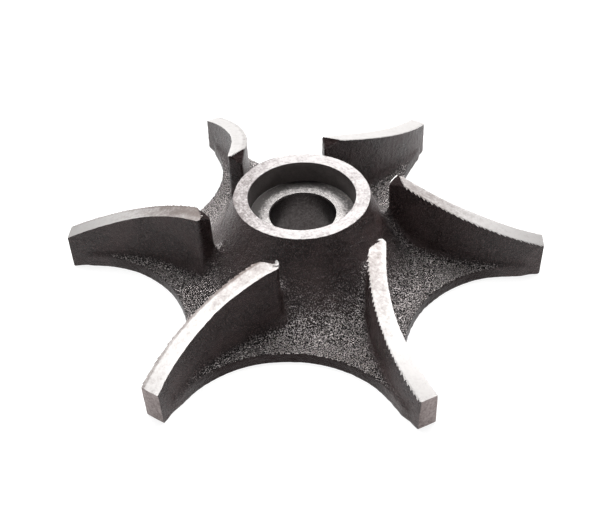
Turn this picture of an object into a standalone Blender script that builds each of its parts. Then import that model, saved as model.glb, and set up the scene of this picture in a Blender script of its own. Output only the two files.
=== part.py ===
"""Open impeller of a centrifugal water pump, cast in iron and then machined.

One casting: a bell-shaped hub with a seal pocket and a shaft bore, a thin back plate with a
round scallop between each two vanes, and six backward-curved vanes with blunt leading ends.
The origin is on the bore's axis at the flat back, and +Z points out of the seal pocket.
"""
import math

import bmesh
import bpy
from mathutils import Matrix, Vector

MM = 0.001

# Hub
HUB_HEIGHT = 28.8 * MM
HUB_RADIUS = 21.25 * MM
HUB_WALL_HEIGHT = 0.6 * MM
POCKET_RADIUS = 16.9 * MM
POCKET_DEPTH = 7.7 * MM
POCKET_CHAMFER = 0.35 * MM
BORE_RADIUS = 10.35 * MM
BORE_CHAMFER = 0.25 * MM
BORE_RELIEF_HEIGHT = 9.1 * MM
BORE_RELIEF_RADIUS = 10.75 * MM

# Bell and back plate: the bell falls away from the hub as the cube of the distance left
BELL_FOOT_RADIUS = 44.0 * MM
BELL_POWER = 3.0
BELL_STEPS = 10
PLATE_FOOT_HEIGHT = 3.8 * MM
PLATE_RIM_HEIGHT = 3.6 * MM
PLATE_RIM_RADIUS = 70.5 * MM
TURN_STEPS = 72

# Scallops between the vanes
VANE_COUNT = 6
SCALLOP_RADIUS = 37.2 * MM
SCALLOP_CENTRE_RADIUS = 80.7 * MM
SCALLOP_CENTRE_ANGLE = math.radians(-34.35)
SCALLOP_STEPS = 72
CUTTER_MARGIN = 5.0 * MM

# Vanes: both flanks are circular arcs in plan
TIP_RADIUS = 76.2 * MM
CONVEX_END_RADIUS = 31.9 * MM
CONCAVE_END_RADIUS = 32.8 * MM
CONVEX_ARC = 66.8 * MM
CONVEX_CENTRE_RADIUS = 91.3 * MM
CONVEX_CENTRE_ANGLE = math.radians(-19.8)
CONCAVE_ARC = 66.7 * MM
CONCAVE_CENTRE_RADIUS = 95.1 * MM
CONCAVE_CENTRE_ANGLE = math.radians(-17.6)
FLANK_STATIONS = 11
TIP_HEIGHT = 11.8 * MM
TOP_SLOPE = math.tan(math.radians(20.3))
NOSE_SLOPE = math.tan(math.radians(26.0))
NOSE_RADIUS = 28.8 * MM
NOSE_ANGLE = math.radians(-45.5)
END_ROUND = 1.2 * MM
END_ROUND_POINTS = 3
DRAFT = math.tan(math.radians(1.2))
ROOT_FILLET = 3.0 * MM
ROOT_FILLET_STEPS = 3
ROOT_DEPTH = 0.5 * MM
FILLET_FADE_START = 50.0 * MM
FILLET_FADE_END = 62.0 * MM
LEAST_FILLET = 0.3 * MM

SMOOTH_ANGLE = math.radians(32.0)


def clear_scene():
    for old in list(bpy.data.objects):
        bpy.data.objects.remove(old, do_unlink=True)


def cast_iron():
    material = bpy.data.materials.new("cast_iron")
    material.use_nodes = True
    shader = material.node_tree.nodes["Principled BSDF"]
    shader.inputs["Base Color"].default_value = (0.060, 0.055, 0.053, 1.0)
    shader.inputs["Metallic"].default_value = 0.6
    shader.inputs["Roughness"].default_value = 0.55
    return material


def new_object(name, mesh):
    made = bpy.data.objects.new(name, mesh)
    bpy.context.scene.collection.objects.link(made)
    return made


def hide_tool(tool):
    tool.hide_render = True
    tool.display_type = "WIRE"


def plate_top(radius):
    """Height of the cast front surface between the hub's wall and the rim."""
    if radius > BELL_FOOT_RADIUS:
        fall = (radius - BELL_FOOT_RADIUS) / (PLATE_RIM_RADIUS - BELL_FOOT_RADIUS)
        return PLATE_FOOT_HEIGHT + fall * (PLATE_RIM_HEIGHT - PLATE_FOOT_HEIGHT)
    climb = min((BELL_FOOT_RADIUS - radius) / (BELL_FOOT_RADIUS - HUB_RADIUS), 1.0)
    bell_height = HUB_HEIGHT - HUB_WALL_HEIGHT - PLATE_FOOT_HEIGHT
    return PLATE_FOOT_HEIGHT + bell_height * climb ** BELL_POWER


def hub_profile():
    """The turned section as (radius, height), down the outer side and up the bore."""
    floor = HUB_HEIGHT - POCKET_DEPTH
    points = [
        (POCKET_RADIUS + POCKET_CHAMFER, HUB_HEIGHT),
        (HUB_RADIUS, HUB_HEIGHT),
    ]
    for step in range(BELL_STEPS + 1):
        radius = HUB_RADIUS + (BELL_FOOT_RADIUS - HUB_RADIUS) * step / BELL_STEPS
        points.append((radius, plate_top(radius)))
    points += [
        (PLATE_RIM_RADIUS, PLATE_RIM_HEIGHT),
        (PLATE_RIM_RADIUS, 0.0),
        (BORE_RELIEF_RADIUS + BORE_CHAMFER, 0.0),
        (BORE_RELIEF_RADIUS, BORE_CHAMFER),
        (BORE_RELIEF_RADIUS, BORE_RELIEF_HEIGHT),
        (BORE_RADIUS, BORE_RELIEF_HEIGHT),
        (BORE_RADIUS, floor - BORE_CHAMFER),
        (BORE_RADIUS + BORE_CHAMFER, floor),
        (POCKET_RADIUS, floor),
        (POCKET_RADIUS, HUB_HEIGHT - POCKET_CHAMFER),
    ]
    return points


def turned_casting():
    """Hub, bell and plate as one turned solid, before the scallops are cut."""
    mesh = bpy.data.meshes.new("impeller_casting")
    profile = [Vector((radius, 0.0, height)) for radius, height in hub_profile()]
    links = [(index, (index + 1) % len(profile)) for index in range(len(profile))]
    mesh.from_pydata(profile, links, [])
    casting = new_object("impeller_casting", mesh)
    turn = casting.modifiers.new("turn", "SCREW")
    turn.axis = "Z"
    turn.angle = math.tau
    turn.steps = TURN_STEPS
    turn.render_steps = TURN_STEPS
    turn.use_merge_vertices = True
    turn.merge_threshold = 0.00001
    return casting


def scallop_cutters():
    """Six round cutters, one for each gap between two vanes."""
    shape = bmesh.new()
    for index in range(VANE_COUNT):
        angle = SCALLOP_CENTRE_ANGLE + math.tau * index / VANE_COUNT
        depth = PLATE_FOOT_HEIGHT + 2.0 * CUTTER_MARGIN
        centre = Vector((math.cos(angle), math.sin(angle), 0.0)) * SCALLOP_CENTRE_RADIUS
        centre.z = depth / 2.0 - CUTTER_MARGIN
        bmesh.ops.create_cone(
            shape, cap_ends=True, segments=SCALLOP_STEPS, radius1=SCALLOP_RADIUS,
            radius2=SCALLOP_RADIUS, depth=depth,
            matrix=Matrix.Translation(centre) @ Matrix.Rotation(angle, 4, "Z"))
    mesh = bpy.data.meshes.new("scallop_cutters")
    shape.to_mesh(mesh)
    shape.free()
    cutters = new_object("scallop_cutters", mesh)
    hide_tool(cutters)
    return cutters


def flank_point(radius, arc, centre_radius, centre_angle):
    """The plan point of a flank's arc at a given distance from the bore's axis."""
    reach = centre_radius ** 2 + radius ** 2 - arc ** 2
    angle = centre_angle - math.acos(reach / (2.0 * centre_radius * radius))
    return Vector((radius * math.cos(angle), radius * math.sin(angle)))


def flank(end_radius, arc, centre_radius, centre_angle):
    """Plan points of a flank from the end of the machined edge to the tip."""
    points = []
    for step in range(FLANK_STATIONS + 1):
        radius = end_radius + (TIP_RADIUS - end_radius) * step / FLANK_STATIONS
        points.append(flank_point(radius, arc, centre_radius, centre_angle))
    return points


def end_round(before, corner, after):
    """Points of the small arc that rounds a plan corner of a vane's leading end."""
    back = (before - corner).normalized()
    ahead = (after - corner).normalized()
    half = back.angle(ahead) / 2.0
    centre = corner + (back + ahead).normalized() * (END_ROUND / math.sin(half))
    start = corner + back * (END_ROUND / math.tan(half)) - centre
    sweep = (math.pi - 2.0 * half) / (END_ROUND_POINTS - 1)
    turns = [Matrix.Rotation(sweep * step, 2) for step in range(END_ROUND_POINTS)]
    return [centre + turn @ start for turn in turns]


def vane_outline():
    """Plan of a vane: the nose's round, the convex flank, the concave flank, its round."""
    nose = Vector((math.cos(NOSE_ANGLE), math.sin(NOSE_ANGLE))) * NOSE_RADIUS
    convex = flank(
        CONVEX_END_RADIUS, CONVEX_ARC, CONVEX_CENTRE_RADIUS, CONVEX_CENTRE_ANGLE)
    concave = flank(
        CONCAVE_END_RADIUS, CONCAVE_ARC, CONCAVE_CENTRE_RADIUS, CONCAVE_CENTRE_ANGLE)
    nose_round = end_round(concave[0], nose, convex[0])
    inner_round = end_round(concave[1], concave[0], nose)
    return nose_round + convex + concave[:0:-1] + inner_round


def vane_top(radius):
    """Height of the machined cone, and of the raw slope inside it."""
    cone = TIP_HEIGHT + (TIP_RADIUS - max(radius, CONVEX_END_RADIUS)) * TOP_SLOPE
    return cone - max(CONVEX_END_RADIUS - radius, 0.0) * NOSE_SLOPE


def outward_normals(outline):
    """Unit normals of a closed plan outline that runs counterclockwise."""
    normals = []
    for index, point in enumerate(outline):
        before = (point - outline[index - 1]).normalized()
        after = (outline[(index + 1) % len(outline)] - point).normalized()
        along = (before + after).normalized()
        stretch = 1.0 / max(along.dot(after), 0.75)
        normals.append(Vector((along.y, -along.x)) * stretch)
    return normals


def root_fillet(radius):
    """Fillet size at a vane's root, which fades where the scallops end the plate."""
    fade = (radius - FILLET_FADE_START) / (FILLET_FADE_END - FILLET_FADE_START)
    fade = min(max(fade, 0.0), 1.0)
    return ROOT_FILLET + (LEAST_FILLET - ROOT_FILLET) * fade


def vane_level(outline, normals, level):
    """One closed row of points around a vane: 0 is the bottom and the last is the top."""
    row = []
    for point, normal in zip(outline, normals):
        top = vane_top(point.length)
        if level == ROOT_FILLET_STEPS + 2:
            row.append(Vector((point.x, point.y, top)))
            continue
        fillet = root_fillet(point.length)
        turn = math.pi / 2.0 * max(level - 1, 0) / ROOT_FILLET_STEPS
        offset = fillet * (1.0 - math.sin(turn)) + (top - plate_top(point.length)) * DRAFT
        spot = point + normal * offset
        if point.length > TIP_RADIUS - ROOT_DEPTH:
            spot *= point.length / spot.length
        rise = fillet * (1.0 - math.cos(turn)) - (ROOT_DEPTH if level == 1 else 0.0)
        height = plate_top(spot.length) + rise if level else 0.0
        row.append(Vector((spot.x, spot.y, height)))
    return row


def cap_faces():
    """Vertex numbers of a vane's end faces: the leading facet and a strip of quads."""
    first = END_ROUND_POINTS
    last = first + 2 * FLANK_STATIONS + 1
    facet = [*range(first + 1), *range(last, last + END_ROUND_POINTS)]
    strip = []
    for step in range(FLANK_STATIONS):
        strip.append([first + step, first + step + 1, last - step - 1, last - step])
    return [facet] + strip


def vane_blanks():
    """Six vanes that reach down through the plate, each with its root fillet."""
    outline = vane_outline()
    normals = outward_normals(outline)
    rows = [vane_level(outline, normals, level) for level in range(ROOT_FILLET_STEPS + 3)]
    shape = bmesh.new()
    for index in range(VANE_COUNT):
        turn = Matrix.Rotation(math.tau * index / VANE_COUNT, 4, "Z")
        made = [[shape.verts.new(turn @ spot) for spot in row] for row in rows]
        for lower, upper in zip(made, made[1:]):
            for side in range(len(outline)):
                after = (side + 1) % len(outline)
                shape.faces.new((lower[side], lower[after], upper[after], upper[side]))
        for face in cap_faces():
            shape.faces.new([made[-1][number] for number in face])
            shape.faces.new([made[0][number] for number in reversed(face)])
    mesh = bpy.data.meshes.new("vane_blanks")
    shape.to_mesh(mesh)
    shape.free()
    blanks = new_object("vane_blanks", mesh)
    hide_tool(blanks)
    return blanks


def combine(target, tool, operation):
    step = target.modifiers.new(tool.name, "BOOLEAN")
    step.operation = operation
    step.solver = "EXACT"
    step.object = tool


def apply_shape(target):
    """Keeps the finished shape as a mesh and shades its round stretches smooth."""
    shown = target.evaluated_get(bpy.context.evaluated_depsgraph_get())
    finished = bpy.data.meshes.new_from_object(shown)
    target.modifiers.clear()
    target.data = finished
    finished.shade_smooth()
    finished.set_sharp_from_angle(angle=SMOOTH_ANGLE)


clear_scene()
impeller = turned_casting()
combine(impeller, scallop_cutters(), "DIFFERENCE")
combine(impeller, vane_blanks(), "UNION")
apply_shape(impeller)
impeller.data.materials.clear()
impeller.data.materials.append(cast_iron())
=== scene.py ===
import math

import bmesh
import bpy
import numpy as np
from mathutils import Matrix, Vector


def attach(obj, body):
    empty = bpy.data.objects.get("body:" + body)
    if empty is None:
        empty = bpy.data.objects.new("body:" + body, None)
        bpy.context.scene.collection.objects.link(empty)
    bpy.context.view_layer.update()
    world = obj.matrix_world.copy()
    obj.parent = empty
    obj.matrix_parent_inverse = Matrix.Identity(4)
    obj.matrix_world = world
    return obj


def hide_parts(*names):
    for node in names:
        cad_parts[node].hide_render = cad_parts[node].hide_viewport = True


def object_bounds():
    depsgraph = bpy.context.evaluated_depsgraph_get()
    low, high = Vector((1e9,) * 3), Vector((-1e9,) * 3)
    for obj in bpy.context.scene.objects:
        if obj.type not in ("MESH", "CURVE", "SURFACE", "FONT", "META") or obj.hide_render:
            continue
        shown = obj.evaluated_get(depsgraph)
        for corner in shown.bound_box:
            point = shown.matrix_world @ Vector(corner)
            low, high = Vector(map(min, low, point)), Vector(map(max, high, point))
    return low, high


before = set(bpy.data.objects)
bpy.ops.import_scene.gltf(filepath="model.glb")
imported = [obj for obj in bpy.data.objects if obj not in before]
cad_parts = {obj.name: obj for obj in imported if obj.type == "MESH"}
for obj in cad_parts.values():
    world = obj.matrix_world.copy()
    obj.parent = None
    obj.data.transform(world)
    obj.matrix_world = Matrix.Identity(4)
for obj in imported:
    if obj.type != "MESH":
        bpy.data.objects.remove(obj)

cad_low, cad_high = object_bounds()

# The camera looks down on the vane side of the impeller from about 0.3 m. The hub's ring lies a
# little left of the picture's middle, and the shift takes the lens axis off the middle.
MM = 0.001
VIEW_DOWN = math.radians(43.19)
VIEW_ROLL = math.radians(-1.44)
EYE_DISTANCE = 293.0 * MM
RING_RIGHT_OF_AXIS = -6.6 * MM
RING_ABOVE_AXIS = 25.7 * MM
SENSOR_WIDTH = 36.0
FOCAL_LENGTH = 56.93
FRAME_SHIFT = (-0.0387, 0.040)
NEAREST, FARTHEST = 0.01, 20.0

level = Vector((1.0, 0.0, 0.0))
rise = Vector((0.0, math.sin(VIEW_DOWN), math.cos(VIEW_DOWN)))
ahead = Vector((0.0, math.cos(VIEW_DOWN), -math.sin(VIEW_DOWN)))
across = level * math.cos(VIEW_ROLL) + rise * math.sin(VIEW_ROLL)
upward = rise * math.cos(VIEW_ROLL) - level * math.sin(VIEW_ROLL)
ring_centre = Vector((0.0, 0.0, cad_high.z))
eye = ring_centre - across * RING_RIGHT_OF_AXIS - upward * RING_ABOVE_AXIS - ahead * EYE_DISTANCE

lens = bpy.data.cameras.new("camera")
lens.sensor_fit = "HORIZONTAL"
lens.sensor_width = SENSOR_WIDTH
lens.lens = FOCAL_LENGTH
lens.shift_x, lens.shift_y = FRAME_SHIFT
lens.clip_start, lens.clip_end = NEAREST, FARTHEST
camera = bpy.data.objects.new("camera", lens)
bpy.context.scene.collection.objects.link(camera)
camera.matrix_world = (
    Matrix.Translation(eye) @ Matrix((across, upward, -ahead)).transposed().to_4x4())
bpy.context.scene.camera = camera

# The impeller leaves its sand mould as one grey-iron casting: a boss that flares like a bell into a
# thin plate, six curved vanes with filleted roots, and a round scallop between each two vanes. It is
# a field here, negative inside the iron, in millimetres, and still has the stock that turning takes.
VANES = 6
HUB_HEIGHT = cad_high.z / MM
HUB_RADIUS = 21.35
BELL_FOOT_RADIUS = 44.0
BELL_POWER = 3.0
HUB_WALL_HEIGHT = 0.6
PLATE_FOOT_HEIGHT = 3.8
PLATE_RIM_HEIGHT = 3.6
PLATE_RIM_RADIUS = 71.5
SCALLOP_RADIUS = 37.2
SCALLOP_CENTRE_RADIUS = 80.7
SCALLOP_CENTRE_ANGLE = math.radians(-34.35)
PLATE_EDGE_ROUND = 0.3
PLATE_END_ROUND = 2.5
TIP_RADIUS = 76.2
TIP_HEIGHT = 11.8
TOP_SLOPE = math.tan(math.radians(20.3))
CONVEX_ARC = 66.75
CONVEX_CENTRE_RADIUS = 91.3
CONVEX_CENTRE_ANGLE = math.radians(-19.8)
CONCAVE_ARC = 66.7
CONCAVE_CENTRE_RADIUS = 95.1
CONCAVE_CENTRE_ANGLE = math.radians(-17.6)
CONVEX_END_RADIUS = 31.9
CONCAVE_END = (32.66, math.radians(-41.75))
NOSE = (28.64, math.radians(-44.76))
NOSE_SLOPE = math.tan(math.radians(25.0))
END_ROUND = 0.8
DRAFT = math.tan(math.radians(1.2))
ROOT_FILLET = 3.5
TIP_FILLET = 2.0
FILLET_FADE = (56.0, 70.0)
TURNING_STOCK = 1.2
SWELL_RADII = (32.0, 50.0, 74.0)
# These four have one entry for each vane, anticlockwise from the one at the front right. A swell is
# how far the side stands out at the three radii.
RAW_NOSE_REACH = (0.0, 0.4, 0.3, 0.3, 0.4, 0.4)
NOSE_ROUNDS = (0.35, 0.35, 1.1, 0.6, 0.35, 0.35)
CONVEX_SWELL = ((-0.15, -0.1, 0.0), (0.1, 0.0, 0.0), (0.4, 0.3, 0.1),
                (0.5, 0.1, 0.0), (-0.5, -0.2, 0.0), (-0.4, -0.3, 0.0))
CONCAVE_SWELL = ((0.4, -0.3, 0.0), (-0.5, 0.0, 0.0), (0.0, 0.0, 0.0),
                 (0.1, -0.5, -0.2), (0.5, -0.4, 0.4), (0.6, -0.2, 0.4))


def round_join(a, b, fillet):
    """The union of two fields, with a fillet where they meet."""
    corner = np.hypot(np.maximum(fillet - a, 0.0), np.maximum(fillet - b, 0.0))
    return np.maximum(fillet, np.minimum(a, b)) - corner


def round_meet(a, b, edge):
    """What two fields share, with a rounded edge where they meet."""
    corner = np.hypot(np.maximum(edge + a, 0.0), np.maximum(edge + b, 0.0))
    return np.minimum(-edge, np.maximum(a, b)) + corner


def polar(radius, angle):
    """A point in plan."""
    return np.array((radius * math.cos(angle), radius * math.sin(angle)))


def hub_and_plate(x, y, z):
    """The boss, the bell under it and the plate with its scallops."""
    radius = np.hypot(x, y)
    bell_width = BELL_FOOT_RADIUS - HUB_RADIUS
    bell_height = HUB_HEIGHT - HUB_WALL_HEIGHT - PLATE_FOOT_HEIGHT
    climb = np.maximum((BELL_FOOT_RADIUS - radius) / bell_width, 0.0)
    outward = np.maximum((radius - BELL_FOOT_RADIUS) / (PLATE_RIM_RADIUS - BELL_FOOT_RADIUS), 0.0)
    top = PLATE_FOOT_HEIGHT + bell_height * climb ** BELL_POWER
    top = top - outward * (PLATE_FOOT_HEIGHT - PLATE_RIM_HEIGHT)
    top = np.minimum(top, HUB_HEIGHT + TURNING_STOCK)
    steepness = BELL_POWER * bell_height * climb ** (BELL_POWER - 1.0) / bell_width
    front = (z - top) / np.sqrt(1.0 + steepness ** 2)
    pitch = math.tau / VANES
    turned = np.arctan2(y, x) - SCALLOP_CENTRE_ANGLE
    turned = (turned + pitch / 2.0) % pitch - pitch / 2.0
    reach = np.hypot(radius * np.cos(turned) - SCALLOP_CENTRE_RADIUS, radius * np.sin(turned))
    plate = round_meet(front, SCALLOP_RADIUS - reach, PLATE_EDGE_ROUND)
    return round_meet(plate, radius - PLATE_RIM_RADIUS, PLATE_END_ROUND)


def cone_height(radius):
    """Height of the cone to which the vanes' front edges are turned."""
    return TIP_HEIGHT + (TIP_RADIUS - radius) * TOP_SLOPE


def nose_height(radius, number):
    """Height of the raw slope at a vane's nose, which the facing cut doesn't reach."""
    beyond = radius - CONVEX_END_RADIUS - RAW_NOSE_REACH[number]
    return cone_height(CONVEX_END_RADIUS) + beyond * NOSE_SLOPE


def one_vane(x, y, z, number):
    """One vane as cast: two arcs in plan, a blunt leading end, and a raw slope at its nose."""
    turn = math.tau * number / VANES
    u = x * math.cos(turn) + y * math.sin(turn)
    v = y * math.cos(turn) - x * math.sin(turn)
    radius = np.hypot(u, v)
    convex_centre = polar(CONVEX_CENTRE_RADIUS, CONVEX_CENTRE_ANGLE)
    concave_centre = polar(CONCAVE_CENTRE_RADIUS, CONCAVE_CENTRE_ANGLE)
    convex = np.hypot(u - convex_centre[0], v - convex_centre[1]) - CONVEX_ARC
    convex = convex - np.interp(radius, SWELL_RADII, CONVEX_SWELL[number])
    concave = CONCAVE_ARC - np.hypot(u - concave_centre[0], v - concave_centre[1])
    concave = concave - np.interp(radius, SWELL_RADII, CONCAVE_SWELL[number])
    nose, inner = polar(*NOSE), polar(*CONCAVE_END)
    face = np.array((nose[1] - inner[1], inner[0] - nose[0])) / np.hypot(*(inner - nose))
    end = (u - nose[0]) * face[0] + (v - nose[1]) * face[1]
    plan = round_meet(np.maximum(convex, concave), end, END_ROUND)
    cone = cone_height(radius)
    plan = plan - DRAFT * (np.minimum(cone, cone_height(CONVEX_END_RADIUS)) - z)
    lid = z - np.minimum(nose_height(radius, number), cone + TURNING_STOCK)
    lid = np.maximum(lid, radius - TIP_RADIUS - TURNING_STOCK)
    return round_meet(plan, lid, NOSE_ROUNDS[number])


def casting_field(x, y, z):
    """The whole casting: the plate and hub with the vanes on them, and stock left on the back."""
    iron = hub_and_plate(x, y, z)
    start, end = FILLET_FADE
    fade = np.clip((np.hypot(x, y) - start) / (end - start), 0.0, 1.0)
    fillet = ROOT_FILLET + (TIP_FILLET - ROOT_FILLET) * fade
    for number in range(VANES):
        iron = round_join(iron, one_vane(x, y, z, number), fillet)
    return np.maximum(iron, -TURNING_STOCK - z)


def mesh_field(field, low, spacing):
    """A closed mesh of quads round a field's negative part: one point in each cell it crosses."""
    inside = field < 0.0
    count = sum(
        inside[i:i + field.shape[0] - 1, j:j + field.shape[1] - 1, k:k + field.shape[2] - 1]
        .astype(np.int8) for i in (0, 1) for j in (0, 1) for k in (0, 1))
    cells = np.argwhere((count > 0) & (count < 8))
    number = np.full(count.shape, -1, np.int32)
    number[tuple(cells.T)] = np.arange(len(cells))
    total, crossings = np.zeros((len(cells), 3)), np.zeros(len(cells))
    for axis in range(3):
        along = np.eye(3, dtype=int)[axis]
        for i in (0, 1):
            for j in (0, 1):
                start = np.roll((0, i, j), axis)
                a = field[tuple((cells + start).T)]
                b = field[tuple((cells + start + along).T)]
                crossed = (a < 0.0) != (b < 0.0)
                share = np.where(crossed, a / np.where(crossed, a - b, 1.0), 0.0)
                total += crossed[:, None] * (start + along * share[:, None])
                crossings += crossed
    points = low + (cells + total / crossings[:, None]) * spacing
    quads = []
    for axis in range(3):
        solid = np.moveaxis(inside, axis, 0)
        edge = np.argwhere(solid[:-1, 1:-1, 1:-1] != solid[1:, 1:-1, 1:-1]) + (0, 1, 1)
        outward = solid[tuple(edge.T)]
        around = [(0, -1, -1), (0, 0, -1), (0, 0, 0), (0, -1, 0)]
        if axis == 1:
            around = around[::-1]
        corners = np.stack(
            [np.moveaxis(number, axis, 0)[tuple((edge + step).T)] for step in around], axis=1)
        quads.append(np.where(outward[:, None], corners, corners[:, ::-1]))
    return points, np.concatenate(quads)


def slope_of(points, step=0.02):
    """Unit gradient of the casting's field."""
    columns = []
    for axis in range(3):
        shift = np.eye(3)[axis] * step
        ahead_of, behind = (points + shift).T, (points - shift).T
        columns.append(casting_field(*ahead_of) - casting_field(*behind))
    gradient = np.stack(columns, axis=1)
    return gradient / np.maximum(np.linalg.norm(gradient, axis=1), 1e-9)[:, None]


def random_waves(points, wavelength, seed, waves=48, spread=(0.75, 1.35)):
    """Even random relief: a sum of waves of about one length in all directions."""
    rng = np.random.default_rng(seed)
    way = rng.normal(size=(waves, 3))
    way *= (math.tau / wavelength / rng.uniform(*spread, waves)
            / np.linalg.norm(way, axis=1))[:, None]
    phase = rng.uniform(0.0, math.tau, waves)
    return np.cos(points @ way.T + phase).sum(axis=1) * math.sqrt(2.0 / waves)


CELL = 0.67
MARGIN = 2.0
SNAPS_TO_SURFACE = 3
SAND_RELIEF, SAND_WAVELENGTH, SAND_SEED = 0.035, 2.0, 3
WARP_RELIEF, WARP_WAVELENGTH, WARP_SEED = 0.06, 14.0, 5

reach_out = TIP_RADIUS + TURNING_STOCK + MARGIN
low_corner = np.array((-reach_out, -reach_out, -TURNING_STOCK - MARGIN))
high_corner = np.array((reach_out, reach_out, HUB_HEIGHT + TURNING_STOCK + MARGIN))
steps = [np.arange(a, b, CELL) for a, b in zip(low_corner, high_corner)]
lattice = np.meshgrid(*steps, indexing="ij", sparse=True)
spots, quads = mesh_field(casting_field(*lattice), low_corner, CELL)
for _ in range(SNAPS_TO_SURFACE):
    spots -= slope_of(spots) * casting_field(*spots.T)[:, None]
outward = slope_of(spots)
relief = (SAND_RELIEF * random_waves(spots, SAND_WAVELENGTH, SAND_SEED)
          + WARP_RELIEF * random_waves(spots, WARP_WAVELENGTH, WARP_SEED))
spots += outward * relief[:, None]


def grid_mesh(name, points, faces):
    """A mesh from arrays of points in millimetres and of four-cornered faces."""
    mesh = bpy.data.meshes.new(name)
    mesh.vertices.add(len(points))
    mesh.vertices.foreach_set("co", (points * MM).astype(np.float32).ravel())
    mesh.loops.add(faces.size)
    mesh.loops.foreach_set("vertex_index", faces.astype(np.int32).ravel())
    mesh.polygons.add(len(faces))
    mesh.polygons.foreach_set("loop_start", np.arange(0, faces.size, 4, dtype=np.int32))
    mesh.update(calc_edges=True)
    mesh.validate()
    return mesh


impeller = bpy.data.objects.new("impeller", grid_mesh("impeller", spots, quads))
bpy.context.scene.collection.objects.link(impeller)


class Wire:
    """A socket in a material, so that shader maths reads as plain maths."""

    def __init__(self, socket):
        self.socket = socket

    def node(self, kind, settings=None, sockets=None, output=0):
        """Any node: its settings are set first, then its sockets' values or links."""
        made = self.socket.id_data.nodes.new(kind)
        for name, value in (settings or {}).items():
            if name == "stops":
                made.color_ramp.interpolation = "CONSTANT"
                while len(made.color_ramp.elements) < len(value):
                    made.color_ramp.elements.new(1.0)
                for element, (place, tone) in zip(made.color_ramp.elements, value):
                    element.position = place
                    element.color = (tone, tone, tone, 1.0)
            else:
                setattr(made, name, value)
        for name, value in (sockets or {}).items():
            if isinstance(value, Wire):
                self.socket.id_data.links.new(value.socket, made.inputs[name])
            else:
                made.inputs[name].default_value = value
        return Wire(made.outputs[output])

    def maths(self, operation, *others):
        """A Math node on this value, and on the others where it takes more."""
        return self.node(
            "ShaderNodeMath", {"operation": operation}, dict(enumerate((self, *others))))

    def __add__(self, other):
        return self.maths("ADD", other)

    __radd__ = __add__

    def __mul__(self, other):
        return self.maths("MULTIPLY", other)

    __rmul__ = __mul__

    def __sub__(self, other):
        return self.maths("SUBTRACT", other)

    def __rsub__(self, other):
        return (self * -1.0).maths("ADD", other)

    def part(self, number):
        """One coordinate of a place, in millimetres."""
        return self.node("ShaderNodeSeparateXYZ", None, {"Vector": self}, number) * (1.0 / MM)

    def ramp(self, low, high):
        """0 below one value, 1 above the other, smooth between them."""
        return self.node(
            "ShaderNodeMapRange", {"interpolation_type": "SMOOTHSTEP"},
            {"Value": self, "From Min": low, "From Max": high})

    def tint(self, low, high):
        """A colour between two, by this value. The Mix node's colour sockets are 6 and 7."""
        return self.node(
            "ShaderNodeMix", {"data_type": "RGBA", "clamp_factor": True},
            {0: self, 6: low, 7: high}, output=2)

    def noise(self, size, detail=2.0, rough=0.5):
        """Even noise whose patches are about this many millimetres wide."""
        return self.node(
            "ShaderNodeTexNoise", None,
            {"Vector": self, "Scale": 1.0 / (size * MM), "Detail": detail, "Roughness": rough})

    def bump(self, depth):
        """A normal from this height, whose unit is so many millimetres deep."""
        return self.node("ShaderNodeBump", None, {"Height": self, "Distance": depth * MM})


def new_finish(name):
    """A material, its shader node and a wire of places in the part's own frame."""
    material = bpy.data.materials.new(name)
    material.use_nodes = True
    shader = material.node_tree.nodes["Principled BSDF"]
    place = Wire(shader.outputs[0]).node("ShaderNodeTexCoord", output="Object")
    return material, shader, place


def plug(shader, **wires):
    """Wires into the shader's sockets, whose names have spaces where these have low lines."""
    for name, wire in wires.items():
        socket = shader.inputs[name.replace("_", " ")]
        shader.id_data.links.new(wire.socket, socket)


# Pairs are where a change over the surface begins and ends: by how far a face looks up, by height,
# by radius, or by the value of a noise.
LEVEL_FACING, NOSE_FACING, STEEP_FACING = (0.35, 0.97), (0.5, 0.8), (0.1, 0.6)
NOSE_HEIGHTS, RIM_HEIGHTS, TIP_RADII = (16.0, 20.0), (3.0, 5.0), (54.0, 66.0)
BROWN_PATCHES, BROWN_GRAINS, BRIGHT_GRAINS = (0.38, 0.68), (0.52, 0.68), (0.44, 0.61)
PATCH_SIZE, SAND_SIZE, LUMP_SIZE = 11.0, 0.38, 1.6
SCALE_BLACK, SCALE_BROWN = (0.0165, 0.0088, 0.0086, 1.0), (0.0940, 0.0610, 0.0590, 1.0)
PIT_BLACK, GRAIN_BRIGHT = (0.022, 0.0205, 0.02, 1.0), (0.67, 0.618, 0.61, 1.0)
LEVEL_GLINT_SHIFT = 0.2
DARKENING_METALNESS = 0.8
SKIN_ROUGHNESS, NOSE_ROUGHNESS = 0.24, 0.4
SKIN_SPECULAR = 0.4
SKIN_DEPTH = 1.3


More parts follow.
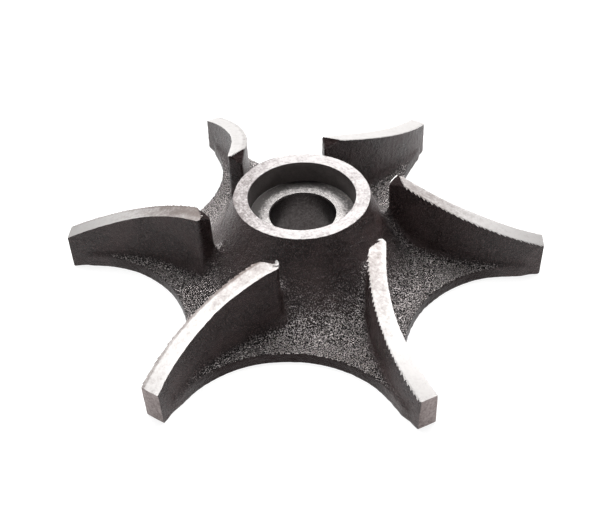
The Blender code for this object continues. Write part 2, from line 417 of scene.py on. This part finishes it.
def cast_finish():
    """Sand-cast skin: black scale with the print of the sand, and bright metal grains on upward faces,
    a painted glint that is denser where the face is more level. The raw noses are dull, the upright
    rims of the scallops are smooth, and upright faces low down near the table are darker: painted
    shade."""
    material, shader, place = new_finish("cast_iron_skin")
    x, y, z = place.part(0), place.part(1), place.part(2)
    radius = (x * x + y * y).maths("SQRT")
    facing_up = place.node("ShaderNodeTexCoord", output="Normal").part(2) * MM
    patches = place.noise(PATCH_SIZE, 3.0)
    sand = place.noise(SAND_SIZE, 1.0, 0.6)
    lumps = place.noise(LUMP_SIZE)
    high_up = z.ramp(*NOSE_HEIGHTS)
    # Faces that look up take bright metal grains in the sand print: a painted glint, denser where the
    # face is more level.
    level = facing_up.ramp(*LEVEL_FACING) * (1.0 - high_up)
    raw_nose = facing_up.ramp(*NOSE_FACING) * high_up
    steep = 1.0 - facing_up.ramp(*STEEP_FACING)
    # Upright faces low down near the table are darker and more metallic: painted shade.
    painted_low_shade = (1.0 - z.ramp(*RIM_HEIGHTS)) * steep * (1.0 - radius.ramp(*TIP_RADII))
    brown = patches.ramp(*BROWN_PATCHES) * 0.3 + sand.ramp(*BROWN_GRAINS) * 0.9
    scale = (brown - raw_nose - painted_low_shade).tint(SCALE_BLACK, SCALE_BROWN)
    glinting_grains = (sand + facing_up * LEVEL_GLINT_SHIFT - LEVEL_GLINT_SHIFT).ramp(*BRIGHT_GRAINS)
    height = (sand * 0.62 + lumps * 0.5) * (1.0 - steep * 0.4)
    plug(
        shader,
        Base_Color=level.tint(scale, glinting_grains.tint(PIT_BLACK, GRAIN_BRIGHT)),
        Metallic=level + raw_nose * DARKENING_METALNESS + painted_low_shade * DARKENING_METALNESS,
        Roughness=SKIN_ROUGHNESS + patches * 0.08 + raw_nose * NOSE_ROUGHNESS,
        Normal=height.bump(SKIN_DEPTH))
    shader.inputs["Specular IOR Level"].default_value = SKIN_SPECULAR
    return material


impeller.data.materials.append(cast_finish())

# The casting is then turned: front ring and vane edges are faced in one cut, the vane tips are turned
# to size, the seal pocket and the shaft bore are bored, and the back is faced flat. All of those
# surfaces are one turned blank here, and the finished part is what the casting and the blank share.
BORE_RADIUS = 10.35
BORE_CHAMFER = 0.25
BORE_RELIEF_RADIUS = 10.75
BORE_RELIEF_HEIGHT = 9.1
POCKET_RADIUS = 16.7
POCKET_DEPTH = 7.7
POCKET_CHAMFER = 0.12
POCKET_CORNER = 0.25
MOUTH_OFF_CENTRE = 0.28
TIP_CHAMFER = 0.35
BLANK_SIDES = 288
BACK_RINGS, EDGE_RINGS, CORNER_RINGS = 20, 24, 5
RING_EDGE_BAND = (1.0, 1.5)
# The material slots of the turned finishes. The cast skin has the slot before them.
RING, EDGE, TIP, BACK, WALL, FLOOR, BORE = range(1, 8)


def blank_profile():
    """The blank's section as rows of (radius, height, finish of the face that follows)."""
    floor = HUB_HEIGHT - POCKET_DEPTH
    cone_start = TIP_RADIUS - (HUB_HEIGHT - TIP_HEIGHT) / TOP_SLOPE
    back_start = BORE_RELIEF_RADIUS + BORE_CHAMFER
    rows = []
    for share in np.linspace(0.0, 1.0, BACK_RINGS, endpoint=False):
        rows.append((back_start + share * (TIP_RADIUS - TIP_CHAMFER - back_start), 0.0, BACK))
    rows += [(TIP_RADIUS - TIP_CHAMFER, 0.0, TIP), (TIP_RADIUS, TIP_CHAMFER, TIP)]
    for share in np.linspace(0.0, 1.0, EDGE_RINGS, endpoint=False):
        radius = TIP_RADIUS + share * (cone_start - TIP_RADIUS)
        rows.append((radius, cone_height(radius), EDGE))
    outside, inside = RING_EDGE_BAND
    for radius in (cone_start, (cone_start + HUB_RADIUS) / 2.0, HUB_RADIUS + outside,
                   HUB_RADIUS - inside, POCKET_RADIUS + POCKET_CHAMFER):
        rows.append((radius, HUB_HEIGHT, RING))
    rows.append((POCKET_RADIUS, HUB_HEIGHT - POCKET_CHAMFER, WALL))
    for turn in np.linspace(0.0, math.pi / 2.0, CORNER_RINGS):
        rows.append((
            POCKET_RADIUS - POCKET_CORNER * (1.0 - math.cos(turn)),
            floor + POCKET_CORNER * (1.0 - math.sin(turn)), FLOOR))
    for radius, height in (
            (BORE_RADIUS + BORE_CHAMFER, floor), (BORE_RADIUS, floor - BORE_CHAMFER),
            (BORE_RADIUS, BORE_RELIEF_HEIGHT), (BORE_RELIEF_RADIUS, BORE_RELIEF_HEIGHT),
            (BORE_RELIEF_RADIUS, BORE_CHAMFER)):
        rows.append((radius, height, BORE))
    return rows


profile = blank_profile()
sides = np.arange(BLANK_SIDES)
turns = sides * math.tau / BLANK_SIDES
after = (sides + 1) % BLANK_SIDES
blank_rings, blank_quads, blank_finish = [], [], []
for row, (radius, height, finish) in enumerate(profile):
    ring = np.stack(
        (radius * np.cos(turns), radius * np.sin(turns), np.full(BLANK_SIDES, height)), axis=1)
    if finish in (RING, WALL) and radius <= POCKET_RADIUS + POCKET_CHAMFER:
        ring[:, 1] -= MOUTH_OFF_CENTRE
    blank_rings.append(ring)
    here = row * BLANK_SIDES
    there = (row + 1) % len(profile) * BLANK_SIDES
    blank_quads.append(np.stack((here + sides, here + after, there + after, there + sides), axis=1))
    blank_finish += [finish] * BLANK_SIDES
blank = bpy.data.objects.new("turned_blank", grid_mesh(
    "turned_blank", np.concatenate(blank_rings), np.concatenate(blank_quads)))
blank.data.polygons.foreach_set("material_index", np.array(blank_finish, np.int32))
bpy.context.scene.collection.objects.link(blank)


STAIN_SIZE, SPECK_SIZE, STREAK_SIZE = 3.0, 0.75, 0.6
STREAK_REACH = 4.0
TOOL_FEED = 0.35
LIGHTNESS_RANGE = (0.42, 1.0)
TURNED_DEPTH = 0.04
NICK_REACH = 0.45
FLOOR_SHADE_INSETS = (1.5, 1.5)


def turned_finish(name, dark, light, rough, marks, tone_shift):
    """Turned iron: light metal with stained patches, streaks and the tool's fine round marks."""
    material, shader, place = new_finish(name)
    x, y = place.part(0), place.part(1)
    radius = (x * x + y * y).maths("SQRT")
    stain = place.noise(STAIN_SIZE, 4.0, 0.65)
    speck = place.noise(SPECK_SIZE, 2.0, 0.7)
    path = place.node(
        "ShaderNodeCombineXYZ", None,
        {0: radius * MM, 1: y.maths("ARCTAN2", x) * (STREAK_REACH * MM)})
    streak = path.noise(STREAK_SIZE, 1.0)
    lightness = (stain * 0.5 + speck * 0.7 + streak * 0.3 + tone_shift(x, y, radius)).ramp(*LIGHTNESS_RANGE)
    lines = (radius * (math.tau / TOOL_FEED)).maths("SINE")
    plug(
        shader,
        Base_Color=lightness.tint(dark, light),
        Roughness=rough - lightness * 0.08,
        Normal=(lines * marks + speck * 0.8 + stain * 0.5).bump(TURNED_DEPTH))
    shader.inputs["Metallic"].default_value = 1.0
    return material


def even_wear(x, y, radius):
    """No part of the face is cleaner than another."""
    return 0.0


def ring_tone(x, y, radius):
    """The ring is lighter on its right and behind, and nicked along its outer edge."""
    right, middle, behind = x.ramp(-20.0, -2.0), y.ramp(-20.0, -5.0), y.ramp(5.0, 20.0)
    nicked = radius.ramp(HUB_RADIUS - NICK_REACH, HUB_RADIUS)
    return right * 0.19 - middle * 0.04 + behind * 0.08 - 0.08 - nicked * 0.3


def floor_painted_shading(x, y, radius):
    """The pocket's floor is painted lighter round the bore and a little lighter on its right, and
    darker out towards the wall and behind: painted highlight, and painted shade from the wall.
    """
    wall_shade = radius.ramp(BORE_RADIUS + FLOOR_SHADE_INSETS[0], POCKET_RADIUS - FLOOR_SHADE_INSETS[1])
    return x * 0.006 - y.ramp(0.0, 16.0) * 0.02 - wall_shade * 0.45 + 0.1


# The first four have one entry for each vane, in the same order as its swells: how much darker its
# edge is near the nose, how grey its whole edge, how brown the edge's convex border, and how much
# painted highlight lightens the iron.
NOSE_DARKENINGS = (0.46, 0.52, 0.0, 0.1, 0.75, 0.3)
EDGE_GREYS = (0.1, 0.1, 0.1, 0.1, 0.1, 0.19)
BORDER_STAINS = (0.0, 0.0, 0.0, 0.2, 0.15, 0.4)
EDGE_PAINTED_HIGHLIGHTS = (0.0, 0.0, 1.0, 1.0, 0.0, 0.0)
FIRST_VANE_BEARING = math.radians(-54.0)
PAST_STOP = 0.01
NOSE_DARKENING_RADII = (36.0, 66.0)
BORDER_BAND, BARE_BAND = (0.5, 1.2), (0.3, 1.4)
BARE_GAIN = 0.15
EDGE_STAIN_SIZE = 2.4
SLIVER_RADII = (31.4, 31.9)
EDGE_BROWN, EDGE_LIGHT = (0.105, 0.088, 0.082, 1.0), (0.36, 0.348, 0.342, 1.0)
EDGE_HIGHLIGHT_TONE, SLIVER_LIGHT = (0.48, 0.465, 0.456, 1.0), (0.40, 0.388, 0.382, 1.0)
EDGE_DEPTH = 0.02


def by_vane(vane, tones):
    """The tone of one vane, by a value that lies a little past number / VANES."""
    stops = [(number / VANES, tone) for number, tone in enumerate(tones)]
    return vane.node("ShaderNodeValToRGB", {"stops": stops}, {"Fac": vane})


def vane_edge_finish():
    """Turned vane edge: bright iron, darker near the nose and brown along the convex border, bare
    along the concave one, and clean on the sliver that hangs over the raw nose. On the two vanes at
    the back the iron is lighter: a painted highlight."""
    material, shader, place = new_finish("turned_vane_edge")
    x, y = place.part(0), place.part(1)
    bearing = y.maths("ARCTAN2", x)
    radius = (x * x + y * y).maths("SQRT")
    pitch = math.tau / VANES
    number = ((bearing - FIRST_VANE_BEARING) * (1.0 / pitch) + 0.5).maths("FLOOR")
    vane = number.maths("FLOORED_MODULO", float(VANES)) * (1.0 / VANES) + PAST_STOP
    turned = bearing - number * pitch
    u, v = radius * turned.maths("COSINE"), radius * turned.maths("SINE")
    from_arcs = []
    for centre_radius, centre_angle, arc, inward in (
            (CONVEX_CENTRE_RADIUS, CONVEX_CENTRE_ANGLE, CONVEX_ARC, -1.0),
            (CONCAVE_CENTRE_RADIUS, CONCAVE_CENTRE_ANGLE, CONCAVE_ARC, 1.0)):
        centre = polar(centre_radius, centre_angle)
        off_u, off_v = u - float(centre[0]), v - float(centre[1])
        from_arcs.append(((off_u * off_u + off_v * off_v).maths("SQRT") - arc) * inward)
    from_convex, from_concave = from_arcs
    stain = place.noise(EDGE_STAIN_SIZE, 3.0, 0.7)
    speck = place.noise(SPECK_SIZE, 2.0, 0.7)
    # Each vane's edge is darker towards its nose, by its own amount.
    near_nose = 1.0 - radius.ramp(*NOSE_DARKENING_RADII)
    darkening = by_vane(vane, NOSE_DARKENINGS) * near_nose + by_vane(vane, EDGE_GREYS)
    border = (1.0 - from_convex.ramp(*BORDER_BAND)) * by_vane(vane, BORDER_STAINS)
    bare = (1.0 - from_concave.ramp(*BARE_BAND)) * BARE_GAIN
    sliver = 1.0 - radius.ramp(*SLIVER_RADII)
    lightness = (stain * 0.7 + speck * 0.6 + 0.35 - darkening - border + bare).ramp(0.0, 1.0)
    lightness = lightness.maths("MAXIMUM", sliver)
    # The two vanes at the back take a lighter edge colour: a painted highlight.
    light = sliver.tint(by_vane(vane, EDGE_PAINTED_HIGHLIGHTS).tint(EDGE_LIGHT, EDGE_HIGHLIGHT_TONE), SLIVER_LIGHT)
    plug(
        shader,
        Base_Color=lightness.tint(EDGE_BROWN, light),
        Roughness=0.46 - lightness * 0.06,
        Normal=(speck * 0.9 + stain * 0.6).bump(EDGE_DEPTH))
    shader.inputs["Metallic"].default_value = 1.0
    return material


finishes = [
    turned_finish(
        "turned_ring", dark=(0.078, 0.068, 0.067, 1.0), light=(0.225, 0.214, 0.212, 1.0),
        rough=0.44, marks=0.4, tone_shift=ring_tone),
    vane_edge_finish(),
    turned_finish(
        "turned_tip", dark=(0.105, 0.081, 0.077, 1.0), light=(0.255, 0.218, 0.212, 1.0),
        rough=0.42, marks=0.2, tone_shift=even_wear),
    turned_finish(
        "faced_back", dark=(0.30, 0.28, 0.27, 1.0), light=(0.50, 0.48, 0.47, 1.0),
        rough=0.42, marks=0.6, tone_shift=even_wear),
    turned_finish(
        "pocket_wall", dark=(0.22, 0.20, 0.198, 1.0), light=(0.30, 0.274, 0.27, 1.0),
        rough=0.5, marks=0.3, tone_shift=even_wear),
    # The pocket floor's tone shift is painted light and shade: lighter round the bore and on its
    # right, darker towards the wall.
    turned_finish(
        "pocket_floor", dark=(0.045, 0.042, 0.041, 1.0), light=(0.26, 0.248, 0.243, 1.0),
        rough=0.34, marks=0.5, tone_shift=floor_painted_shading),
    turned_finish(
        "shaft_bore", dark=(0.048, 0.041, 0.040, 1.0), light=(0.096, 0.086, 0.085, 1.0),
        rough=0.34, marks=0.5, tone_shift=even_wear),
]
blank.data.materials.append(impeller.data.materials[0])
for piece in (impeller, blank):
    for finish in finishes:
        piece.data.materials.append(finish)
cut = impeller.modifiers.new("turned", "BOOLEAN")
cut.operation = "INTERSECT"
cut.solver = "MANIFOLD"
cut.object = blank

# The tool breaks out over the cast skin on the vanes' convex side and leaves a fine saw-toothed lip
# of iron there. Ragged slivers hang over the raw noses, and on three vanes the upper edge of the
# leading end is curled into a bright rim. They are thin bars here, welded to the turned part.
BURR_STEP = 0.12
BURR_ROOT = 0.35
BURR_ROOT_DEPTHS = (0.05, 0.40)
BURR_CLEARANCE = 0.01
BURR_THICKNESS = 0.11
BURR_DROOP = (0.15, 0.25)
BURR_UNDERSIDE = 0.85
LEAST_BURR = 0.05
PITCH_SPREAD, PEAK_SPREAD = (0.6, 1.4), (0.45, 1.0)
TOOTH_LEAN = 0.35
TOOTH_TAPER = 0.25
NOSE_BURR_LENGTH = 9.0
LIP_END_GAPS = (0.1, 0.3)
LIP_SEED, SLIVER_SEED, RIM_SEED = 40, 60, 80
SLIVER_PITCH, SLIVER_SHARPNESS = 0.8, 1.2
SLIVER_END_GAPS = (0.4, 0.9)
# These six have one entry for each vane, in the same order as its swells. A sliver's are its widths
# at its two ends.
TOOTH_BASES = (0.0, 0.0, 0.15, 0.0, 0.0, 0.0)
TOOTH_WIDTHS = (0.95, 1.0, 0.25, 0.5, 0.5, 0.6)
TOOTH_PITCHES = (1.5, 1.4, 1.4, 1.1, 1.2, 1.8)
TOOTH_SHARPNESS = (1.4, 1.4, 1.0, 1.4, 1.2, 0.6)
NOSE_BURRS = (0.1, 0.3, 0.2, 0.6, 0.1, 0.2)
SLIVER_WIDTHS = ((0.3, 0.2), (0.5, 0.3), (0.2, 0.2), (0.5, 1.1), (0.1, 1.8), (0.3, 0.3))
# By vane: a rim's span along the end's edge, its height, and its reach inward at each end.
RIMS = {
    0: (0.1, 0.51, 0.15, 1.4, 0.4),
    1: (0.22, 0.96, 0.05, 0.3, 0.12),
    5: (0.06, 0.96, 0.4, 2.4, 0.5),
}
RIM_BULGE, RIM_INSET = 0.3, 0.15
RIM_UNEVENNESS = 0.15
RIM_TAPER = 1.4
RIM_LIP_REACH, RIM_LIP_HEIGHT = 0.8, 0.03
RIM_CREST_REACH, RIM_FOOT_REACH = 0.1, 0.25
RIM_ROOT_DEPTH, RIM_FOOT_DEPTH = 0.3, 0.6
SHARP_ANGLE = math.radians(35.0)


def saw_teeth(length, base, width, pitch, sharpness, rng):
    """How far the lip stands out along an edge: slow rises, each with a sudden fall."""
    places = np.arange(0.0, length, BURR_STEP)
    out = np.zeros(len(places))
    start = -pitch
    while start < length:
        step = pitch * rng.uniform(*PITCH_SPREAD)
        peak = rng.uniform(*PEAK_SPREAD)
        here = (places >= start) & (places < start + step)
        out[here] = peak * ((places[here] - start) / step) ** sharpness
        start += step
    grown = np.minimum(places / pitch, 1.0) * width(places / length)
    return places, LEAST_BURR + base + out * grown


def lip(path, outward, along, width):
    """A thin lip on an edge: four points a section, flush with the turned face above it."""
    root = np.full(len(width), -BURR_ROOT)
    lean = along * (TOOTH_LEAN * width)[:, None]
    rows = []
    for reach, shift, drop in (
            (root, 0.0, BURR_ROOT_DEPTHS[0]),
            (width, lean, BURR_CLEARANCE + BURR_DROOP[0] * width),
            (BURR_UNDERSIDE * width, lean, BURR_THICKNESS + BURR_DROOP[1] * width),
            (root, 0.0, BURR_ROOT_DEPTHS[1])):
        spot = path + reach[:, None] * outward + shift
        rows.append(np.column_stack((spot, cone_height(np.hypot(*spot.T)) - drop)))
    return np.stack(rows, axis=1)


def strips_mesh(name, strips):
    """Closed bars from rows of four-point sections, joined in one mesh."""
    points, faces, first = [], [], 0
    for strip in strips:
        count = len(strip)
        turn = np.cross(strip[:-1, 1] - strip[:-1, 0], strip[:-1, 3] - strip[:-1, 0])
        if (turn * (strip[1:] - strip[:-1]).mean(axis=1)).sum() > 0.0:
            strip = strip[:, ::-1]
        number = first + np.arange(count * 4).reshape(count, 4)
        for side in range(4):
            after = (side + 1) % 4
            faces.append(np.stack((
                number[:-1, side], number[1:, side], number[1:, after], number[:-1, after]), axis=1))
        faces.append(number[:1])
        faces.append(number[-1:, ::-1])
        points.append(strip.reshape(-1, 3))
        first += count * 4
    return grid_mesh(name, np.concatenate(points), np.concatenate(faces))


def turned_about(spots, number):
    """Plan or space points of the first vane, turned to another vane's place."""
    turn = math.tau * number / VANES
    spun = spots.copy()
    spun[..., 0] = spots[..., 0] * math.cos(turn) - spots[..., 1] * math.sin(turn)
    spun[..., 1] = spots[..., 0] * math.sin(turn) + spots[..., 1] * math.cos(turn)
    return spun


def convex_bearing(radius):
    """Bearing at which the first vane's convex side crosses a radius."""
    cosine = (CONVEX_CENTRE_RADIUS ** 2 + radius ** 2 - CONVEX_ARC ** 2) / (
        2.0 * CONVEX_CENTRE_RADIUS * radius)
    return CONVEX_CENTRE_ANGLE - math.acos(cosine)


def edge_lips():
    """The saw-toothed lip along the convex side of each vane's machined edge."""
    centre = polar(CONVEX_CENTRE_RADIUS, CONVEX_CENTRE_ANGLE)
    spans = []
    for radius in (CONVEX_END_RADIUS + LIP_END_GAPS[0], TIP_RADIUS - LIP_END_GAPS[1]):
        spot = polar(radius, convex_bearing(radius)) - centre
        spans.append(math.atan2(spot[1], spot[0]))
    sweep = (spans[1] - spans[0] + math.pi) % math.tau - math.pi
    way = math.copysign(1.0, sweep)
    length = abs(sweep) * CONVEX_ARC
    strips = []
    for number in range(VANES):
        rng = np.random.default_rng(LIP_SEED + number)
        places, width = saw_teeth(
            length, TOOTH_BASES[number],
            lambda share: TOOTH_WIDTHS[number] * (1.0 - TOOTH_TAPER * share)
            + NOSE_BURRS[number] * np.exp(-share * length / NOSE_BURR_LENGTH),
            TOOTH_PITCHES[number], TOOTH_SHARPNESS[number], rng)
        angle = spans[0] + way * places / CONVEX_ARC
        outward = np.column_stack((np.cos(angle), np.sin(angle)))
        along = np.column_stack((-outward[:, 1], outward[:, 0])) * way
        edge = centre + outward * CONVEX_ARC
        swell = np.interp(np.hypot(*edge.T), SWELL_RADII, CONVEX_SWELL[number])
        strip = lip(edge + outward * swell[:, None], outward, along, width)
        strips.append(turned_about(strip, number))
    return strips


def nose_slivers():
    """Ragged slivers over the raw slope, where each machined edge ends."""
    strips = []
    for number in range(VANES):
        rng = np.random.default_rng(SLIVER_SEED + number)
        radius = CONVEX_END_RADIUS + RAW_NOSE_REACH[number] * NOSE_SLOPE / (NOSE_SLOPE + TOP_SLOPE)
        first = convex_bearing(radius) + SLIVER_END_GAPS[0] / radius
        last = CONCAVE_END[1] - SLIVER_END_GAPS[1] / radius
        near, far = SLIVER_WIDTHS[number]
        places, width = saw_teeth(
            (last - first) * radius, 0.0, lambda share: near + (far - near) * share ** 2,
            SLIVER_PITCH, SLIVER_SHARPNESS, rng)
        angle = first + places / radius
        outward = -np.column_stack((np.cos(angle), np.sin(angle)))
        along = np.column_stack((outward[:, 1], -outward[:, 0]))
        strip = lip(-outward * radius, outward, along, width)
        strips.append(turned_about(strip, number))
    return strips


def end_rims():
    """A bright curled rim on some vanes, along the upper edge of the leading end."""
    strips = []
    for number, (begin, finish, rise, root, tip) in RIMS.items():
        rng = np.random.default_rng(RIM_SEED + number)
        start, end = polar(*CONCAVE_END), polar(*NOSE)
        length = np.hypot(*(end - start))
        share = np.arange(begin, finish, BURR_STEP / length)
        side = np.array((end[1] - start[1], start[0] - end[0])) / length
        bulge = RIM_BULGE * np.sin(math.pi * share) - RIM_INSET
        path = start + (end - start) * share[:, None] + side * bulge[:, None]
        crest = rise * (1.0 + rng.uniform(-RIM_UNEVENNESS, RIM_UNEVENNESS, len(share)))
        inward = -(tip + (root - tip) * np.clip(1.0 - share, 0.0, 1.0) ** RIM_TAPER)
        edge = np.zeros(len(share))
        rows = []
        for reach, height in (
                (inward, -RIM_ROOT_DEPTH), (inward * RIM_LIP_REACH, RIM_LIP_HEIGHT),
                (edge + RIM_CREST_REACH, crest), (edge + RIM_FOOT_REACH, -RIM_FOOT_DEPTH)):
            spot = path + side * reach[:, None]
            radius = np.hypot(*spot.T)
            top = np.minimum(nose_height(radius, number), cone_height(radius))
            rows.append(np.column_stack((spot, top + height)))
        strips.append(turned_about(np.stack(rows, axis=1), number))
    return strips


tools = [blank]
for name, strips in (
        ("edge_lips", edge_lips()), ("nose_slivers", nose_slivers()), ("end_rims", end_rims())):
    burrs = bpy.data.objects.new(name, strips_mesh(name, strips))
    bpy.context.scene.collection.objects.link(burrs)
    for finish in impeller.data.materials:
        burrs.data.materials.append(finish)
    burrs.data.polygons.foreach_set(
        "material_index", np.full(len(burrs.data.polygons), EDGE, np.int32))
    weld = impeller.modifiers.new(name, "BOOLEAN")
    weld.operation = "UNION"
    weld.solver = "MANIFOLD"
    weld.object = burrs
    tools.append(burrs)
bpy.context.view_layer.update()
finished = bpy.data.meshes.new_from_object(
    impeller.evaluated_get(bpy.context.evaluated_depsgraph_get()))
impeller.modifiers.clear()
impeller.data = finished
for tool in tools:
    bpy.data.objects.remove(tool)
finished.shade_smooth()
finished.set_sharp_from_angle(angle=SHARP_ANGLE)
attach(impeller, "root")
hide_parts("impeller_casting")

# The part lies on a plain white table in soft studio light: a wide lamp hangs above it, a lower one
# stands further behind, and the surround is even and pale.
TABLE_HALF_SIZE = 3.0
TABLE_GAP = 0.0001
TABLE_GREY = (0.25, 0.25, 0.25, 1.0)
TABLE_GLOW = 0.85
WHITE = (1.0, 1.0, 1.0, 1.0)
SURROUND_STRENGTH = 0.24

table_mesh = bpy.data.meshes.new("table")
shape = bmesh.new()
bmesh.ops.create_grid(shape, x_segments=2, y_segments=2, size=TABLE_HALF_SIZE)
shape.to_mesh(table_mesh)
shape.free()
table = bpy.data.objects.new("table", table_mesh)
table.location.z = cad_low.z - TABLE_GAP
bpy.context.scene.collection.objects.link(table)
table_finish = bpy.data.materials.new("table_white")
table_finish.use_nodes = True
table_shader = table_finish.node_tree.nodes["Principled BSDF"]
table_shader.inputs["Base Color"].default_value = TABLE_GREY
table_shader.inputs["Roughness"].default_value = 0.9
table_shader.inputs["Specular IOR Level"].default_value = 0.0
table_shader.inputs["Emission Color"].default_value = WHITE
table_shader.inputs["Emission Strength"].default_value = TABLE_GLOW
table_mesh.materials.append(table_finish)


def soft_lamp(name, place, width, depth, radiance):
    """A flat lamp of even brightness that faces the middle of the table."""
    data = bpy.data.lights.new(name, "AREA")
    data.shape = "RECTANGLE"
    data.size = width
    data.size_y = depth
    data.energy = radiance * math.pi * width * depth
    lamp = bpy.data.objects.new(name, data)
    lamp.location = place
    lamp.rotation_euler = (Vector((0.0, 0.0, 0.0)) - Vector(place)).to_track_quat("-Z", "Y").to_euler()
    lamp.visible_camera = False
    bpy.context.scene.collection.objects.link(lamp)


soft_lamp("overhead_lamp", (0.0, 0.314, 0.672), width=1.2, depth=0.60, radiance=7.0)
soft_lamp("back_lamp", (0.0, 0.85, 0.45), width=1.2, depth=0.4, radiance=5.0)
surround = bpy.data.worlds.new("surround")
surround.use_nodes = True
sky = surround.node_tree.nodes["Background"]
sky.inputs["Color"].default_value = WHITE
sky.inputs["Strength"].default_value = SURROUND_STRENGTH
bpy.context.scene.world = surround
bpy.context.scene.view_settings.view_transform = "Standard"
